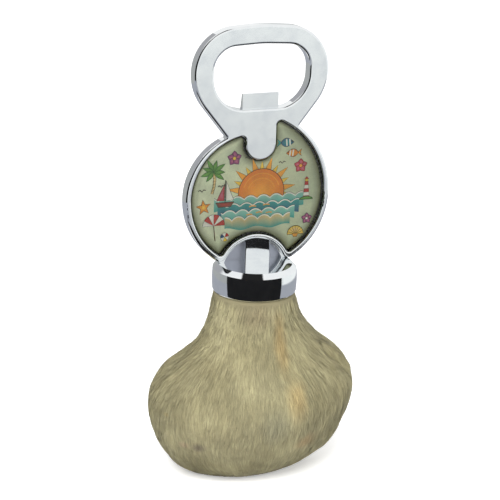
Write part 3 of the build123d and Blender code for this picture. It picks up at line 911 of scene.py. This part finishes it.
def hair_paths(skin, row, column, random):
    """Points and normals along each hair, from root to tip."""
    depth = np.clip(row * skin.step / (22 * MM), 0, 1)
    length = HAIR_LENGTHS[0] + (HAIR_LENGTHS[1] - HAIR_LENGTHS[0]) * depth
    length = length * (0.75 + 0.5 * random.random(len(row)))
    angle = lie_of_hair(skin, row, column, random)
    lift = HAIR_LIFT * (0.4 + 0.9 * random.random(len(row)))
    width_here = skin.read(skin.around, row, column)
    points = []
    normals = []
    for share in HAIR_STEPS:
        travel = length * share
        down = row + travel * np.cos(angle) / skin.step
        side = column + travel * np.sin(angle) / width_here
        normal = skin.read(skin.normals, down, side)
        height = -0.1 * MM + 0.15 * MM * share + lift * share**1.3
        points.append(skin.read(skin.grid, down, side) + normal * height[:, None])
        normals.append(normal)
    return np.array(points), np.array(normals)


def gather_locks(points):
    """Draws the tips of neighbouring hairs together, and returns the number of each hair's lock."""
    tips = points[-1]
    cells = np.floor(tips / LOCK_SPACING).astype(int)
    _, lock = np.unique(cells, axis=0, return_inverse=True)
    lock = lock.ravel()
    sizes = np.bincount(lock)[:, None]
    for i, share in enumerate(HAIR_STEPS):
        sums = [np.bincount(lock, points[i][:, axis]) for axis in range(3)]
        middles = np.stack(sums, axis=1) / sizes
        points[i] += (middles[lock] - points[i]) * LOCK_PULL * share**1.5
    return lock


def ribbons(points, normals, width, twist):
    """Flat hairs that taper to a point, each twisted a little about its run.

    Returns all their vertices, the faces of one hair and its number of vertices.
    """
    count = points.shape[1]
    run = points[-1] - points[0]
    run /= np.linalg.norm(run, axis=1, keepdims=True) + 1e-12
    rings = []
    for i, share in enumerate(HAIR_WIDTHS[:-1]):
        side = np.cross(run, normals[i])
        side /= np.linalg.norm(side, axis=1, keepdims=True) + 1e-12
        side = side * np.cos(twist)[:, None] + normals[i] * np.sin(twist)[:, None]
        half = (width * share / 2)[:, None]
        rings += [points[i] + side * half, points[i] - side * half]
    rings.append(points[-1])
    vertices = np.stack(rings, axis=1)
    per_hair = vertices.shape[1]
    faces = [(2 * i, 2 * i + 2, 2 * i + 3, 2 * i + 1) for i in range(len(HAIR_WIDTHS) - 2)]
    faces.append((per_hair - 3, per_hair - 1, per_hair - 2))
    return vertices.reshape(count * per_hair, 3), faces, per_hair


def fill_mesh(name, vertices, faces, per_hair, count):
    """A mesh of many like hairs, made in one go."""
    mesh = bpy.data.meshes.new(name)
    sizes = np.tile([len(f) for f in faces], count)
    pattern = np.array([i for f in faces for i in f])
    loops = (pattern[None, :] + per_hair * np.arange(count)[:, None]).ravel()
    mesh.vertices.add(len(vertices))
    mesh.vertices.foreach_set("co", vertices.astype(np.float32).ravel())
    mesh.loops.add(len(loops))
    mesh.loops.foreach_set("vertex_index", loops.astype(np.int32))
    mesh.polygons.add(len(sizes))
    starts = np.concatenate([[0], np.cumsum(sizes)[:-1]])
    mesh.polygons.foreach_set("loop_start", starts.astype(np.int32))
    mesh.polygons.foreach_set("use_smooth", np.ones(len(sizes), bool))
    mesh.update(calc_edges=True)
    mesh.validate()
    return mesh


def add_values(mesh, name, values):
    """Stores one number per vertex."""
    attribute = mesh.attributes.new(name, "FLOAT", "POINT")
    attribute.data.foreach_set("value", values.astype(np.float32))


def add_unrolled_map(mesh, vertices):
    """A map that unrolls the pouch, for whatever is later drawn on the hairs."""
    angle = np.arctan2(vertices[:, 0], -vertices[:, 1]) / (2 * math.pi) + 0.5
    height = vertices[:, 2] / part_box("pouch_skin")[1].z
    layer = mesh.uv_layers.new(name="OFBake")
    index = np.zeros(len(mesh.loops), np.int32)
    mesh.loops.foreach_get("vertex_index", index)
    u = angle[index]
    v = height[index]
    layer.uv.foreach_set("vector", np.stack([u, v], 1).astype(np.float32).ravel())


def fur_piece(name, skin, row_span, random, material):
    """One band of hairs round the pouch."""
    row, column = strand_roots(skin, STRANDS_PER_PIECE, row_span, random)
    points, normals = hair_paths(skin, row, column, random)
    lock = gather_locks(points)
    width = HAIR_WIDTH * (0.75 + 0.5 * random.random(len(row)))
    twist = np.radians(HAIR_TWIST) * random.standard_normal(len(row))
    vertices, faces, per_hair = ribbons(points, normals, width, twist)
    vertices[:, 2] = np.maximum(vertices[:, 2], 0.05 * MM)
    mesh = fill_mesh(name, vertices, faces, per_hair, len(row))
    lock_tone = random.random(lock.max() + 1)[lock]
    tone = 0.45 * lock_tone + 0.55 * random.random(len(row))
    along = np.repeat(HAIR_STEPS[:-1], 2).tolist() + [1.0]
    add_values(mesh, "hair_tone", np.repeat(tone, per_hair))
    add_values(mesh, "hair_along", np.tile(along, len(row)))
    add_unrolled_map(mesh, vertices)
    mesh.materials.append(material)
    piece = link(name, mesh)
    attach(piece, "root")


def make_pouch():
    """Hide and fur, in place of the CAD pouch's skin and stuffing."""
    grid, step, base_row = shaped_grid()
    skin = Skin(grid, step)
    hide = link("pouch_hide", hide_mesh(skin))
    hide.data.materials.append(fur("fur_hide", painted_shade=True))
    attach(hide, "root")
    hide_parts("pouch_skin", "stuffing")
    hairs = fur("fur_hairs", painted_shade=False)
    random = np.random.default_rng(FUR_SEED)
    area = np.cumsum(skin.around.sum(1))
    ends = np.searchsorted(area, np.array(PIECE_SHARES) * area[int(base_row)])
    spans = ((0, ends[0]), (ends[0], ends[1]), (ends[1], base_row - 1))
    for name, span in zip(("fur_upper", "fur_middle", "fur_lower"), spans):
        fur_piece(name, skin, span, random, hairs)


# ---- Stage -----------------------------------------------
def make_floor():
    """White table top, a little lighter to the camera than its light makes it."""
    mesh = bpy.data.meshes.new("floor")
    signs = ((-1, -1), (1, -1), (1, 1), (-1, 1))
    corners = [(x * FLOOR_RADIUS, y * FLOOR_RADIUS, 0) for x, y in signs]
    mesh.from_pydata(corners, [], [(0, 1, 2, 3)])
    floor = link("floor", mesh)
    material, graph = new_material("floor")
    speckle = graph.noise(graph.place(), 40, 3)
    level = graph.blend(speckle, FLOOR_COLOUR, tuple(c + 0.02 for c in FLOOR_COLOUR))
    shader = graph.surface(Base_Color=level, Roughness=1.0)
    shader.inputs["Specular IOR Level"].default_value = 0.0
    shader.inputs["Emission Color"].default_value = (1.0, 1.0, 1.0, 1.0)
    camera_ray = graph.add("ShaderNodeLightPath").outputs["Is Camera Ray"]
    graph.put(shader.inputs["Emission Strength"], graph.times(camera_ray, FLOOR_GLOW))
    mesh.materials.append(material)
    floor.visible_glossy = False


def make_world():
    """Even light for matt surfaces, and a studio with dark and pale walls for shiny ones."""
    world = bpy.data.worlds.new("studio")
    bpy.context.scene.world = world
    world.use_nodes = True
    graph = Graph(world.node_tree)
    x, y, z = graph.parts(graph.add("ShaderNodeTexCoord").outputs["Generated"])
    height = graph.times(graph.math("ARCSINE", z), 180 / math.pi)
    bearing = graph.math("ARCTAN2", x, graph.times(y, -1))
    bearing = graph.times(bearing, 180 / math.pi)

    def between(value, low, high, edge):
        """1 between two limits, 0 outside them, with soft edges."""
        inside = graph.span(value, low - edge, low + edge)
        return graph.times(inside, graph.span(value, high - edge, high + edge, 1.0, 0.0))

    def over(*edge_and_levels):
        return graph.span(height, *edge_and_levels)

    def past(*edge_and_levels):
        return graph.span(bearing, *edge_and_levels)

    pale = graph.math("ADD", past(*PALE_WALL, *PALE_WALL_LEVELS), past(*BACK_LEFT, BACK_LEFT_LEVEL, 0.0))
    pale = graph.math("ADD", pale, past(*BACK_RIGHT, 0.0, BACK_RIGHT_LEVEL))
    foot = graph.times(between(bearing, *FRONT_WALL, 6), over(*FRONT_FOOT, FRONT_FOOT_SHADE, 0.0))
    pale = graph.math("SUBTRACT", pale, foot)
    walls = graph.blend(over(*WALL_FOOT), SKIRTING, pale)
    walls = graph.blend(1.0, walls, WALL_TINT, mode="MULTIPLY")
    behind = graph.math("GREATER_THAN", graph.math("ABSOLUTE", bearing), BEHIND)
    streak = graph.times(behind, between(height, *STREAK_HEIGHTS, 3))
    ground = graph.blend(streak, DARK, (1.0, 1.0, 1.0))
    walls = graph.blend(over(*GROUND_TOP), ground, walls)
    lens_side = graph.times(between(bearing, *SKY_LENS_SIDE, 4), over(*SKY_GAP))
    dark_side = graph.times(between(bearing, *SKY_DARK_SIDE, 5), over(*SKY_GAP[::-1]))
    grey_side = graph.times(past(*BACK_LEFT, 1, 0), over(*SKY_GREY_HEIGHTS))
    dark = graph.math("ADD", lens_side, dark_side, clamp=True)
    sky = graph.blend(dark, (1.0, 1.0, 1.0), DARK)
    sky = graph.blend(grey_side, sky, SKY_GREY)
    shiny = graph.add("ShaderNodeBackground")
    graph.put(shiny.inputs["Color"], graph.blend(over(*WALL_TOP), walls, sky))
    matt = graph.add("ShaderNodeBackground")
    matt.inputs["Strength"].default_value = WORLD_STRENGTH
    seen = graph.add("ShaderNodeBackground")
    for background in (matt, seen):
        background.inputs["Color"].default_value = (1.0, 1.0, 1.0, 1.0)
    path = graph.add("ShaderNodeLightPath").outputs
    lit = graph.shader_mix(path["Is Glossy Ray"], matt.outputs[0], shiny.outputs[0])
    world_shader = graph.shader_mix(path["Is Camera Ray"], lit, seen.outputs[0])
    graph.finish(world_shader, "ShaderNodeOutputWorld")


def make_card():
    """Black card bent round the collar's front, which only reflections show."""
    points = []
    bearings = np.radians(np.linspace(*CARD_BEARINGS, 49))
    for bearing in bearings:
        x, y = CARD_RADIUS * math.sin(bearing), -CARD_RADIUS * math.cos(bearing)
        points += [(x, y, CARD_HEIGHTS[0]), (x, y, CARD_HEIGHTS[1])]
    faces = [(2 * i, 2 * i + 2, 2 * i + 3, 2 * i + 1) for i in range(len(bearings) - 1)]
    mesh = bpy.data.meshes.new("card")
    mesh.from_pydata(points, [], faces)
    card = link("card", mesh)
    material, graph = new_material("card")
    weave = graph.noise(graph.place(), 60, 2)
    colour = graph.blend(weave, (0.004, 0.004, 0.005), (0.012, 0.012, 0.014))
    black = (0.0, 0.0, 0.0)
    graph.surface(Base_Color=black, Roughness=1.0, Emission_Color=colour, Emission_Strength=1.0)
    mesh.materials.append(material)
    card.visible_camera = False
    card.visible_diffuse = False
    card.visible_shadow = False
    card.visible_transmission = False


def make_lights():
    """One soft key lamp, which leaves no highlight of its own."""
    lamp = bpy.data.lights.new("key", "AREA")
    lamp.energy = KEY_POWER
    lamp.shape = "DISK"
    lamp.size = KEY_SIZE
    key = link("key", lamp)
    key.location = KEY_PLACE
    key.rotation_euler = (CAMERA_TARGET - KEY_PLACE).to_track_quat("-Z", "Y").to_euler()
    key.visible_glossy = False


def make_camera():
    azimuth = math.radians(CAMERA_AZIMUTH)
    elevation = math.radians(CAMERA_ELEVATION)
    roll = math.radians(CAMERA_ROLL)
    back = Vector((
        -math.sin(azimuth) * math.cos(elevation),
        -math.cos(azimuth) * math.cos(elevation),
        math.sin(elevation),
    ))
    level = Vector((math.cos(azimuth), -math.sin(azimuth), 0))
    upright = back.cross(level)
    right = level * math.cos(roll) + upright * math.sin(roll)
    up = upright * math.cos(roll) - level * math.sin(roll)
    data = bpy.data.cameras.new("camera")
    data.lens = CAMERA_LENS
    data.clip_start = 0.01
    camera = link("camera", data)
    place = CAMERA_TARGET + back * CAMERA_DISTANCE + right * CAMERA_SIDESTEP + up * CAMERA_RISE
    camera.matrix_world = Matrix.Translation(place) @ Matrix((right, up, back)).transposed().to_4x4()
    bpy.context.scene.camera = camera


dress("opener_head", chrome("head_chrome", flat_roughness=0.16))
dress("collar", chrome("collar_chrome", flat_roughness=0.0))
dress("print_inlay", film_rim_painted_shade())
dress("resin_dome", resin())
for name in ("neck_screw", "neck_washer", "binding_wire"):
    dress(name, steel())
dress("neck_plug", wood())
dress("glue_bead", glue())
make_picture()
make_pouch()
make_floor()
make_world()
make_card()
make_lights()
make_camera()
bpy.context.scene.view_settings.view_transform = "Standard"
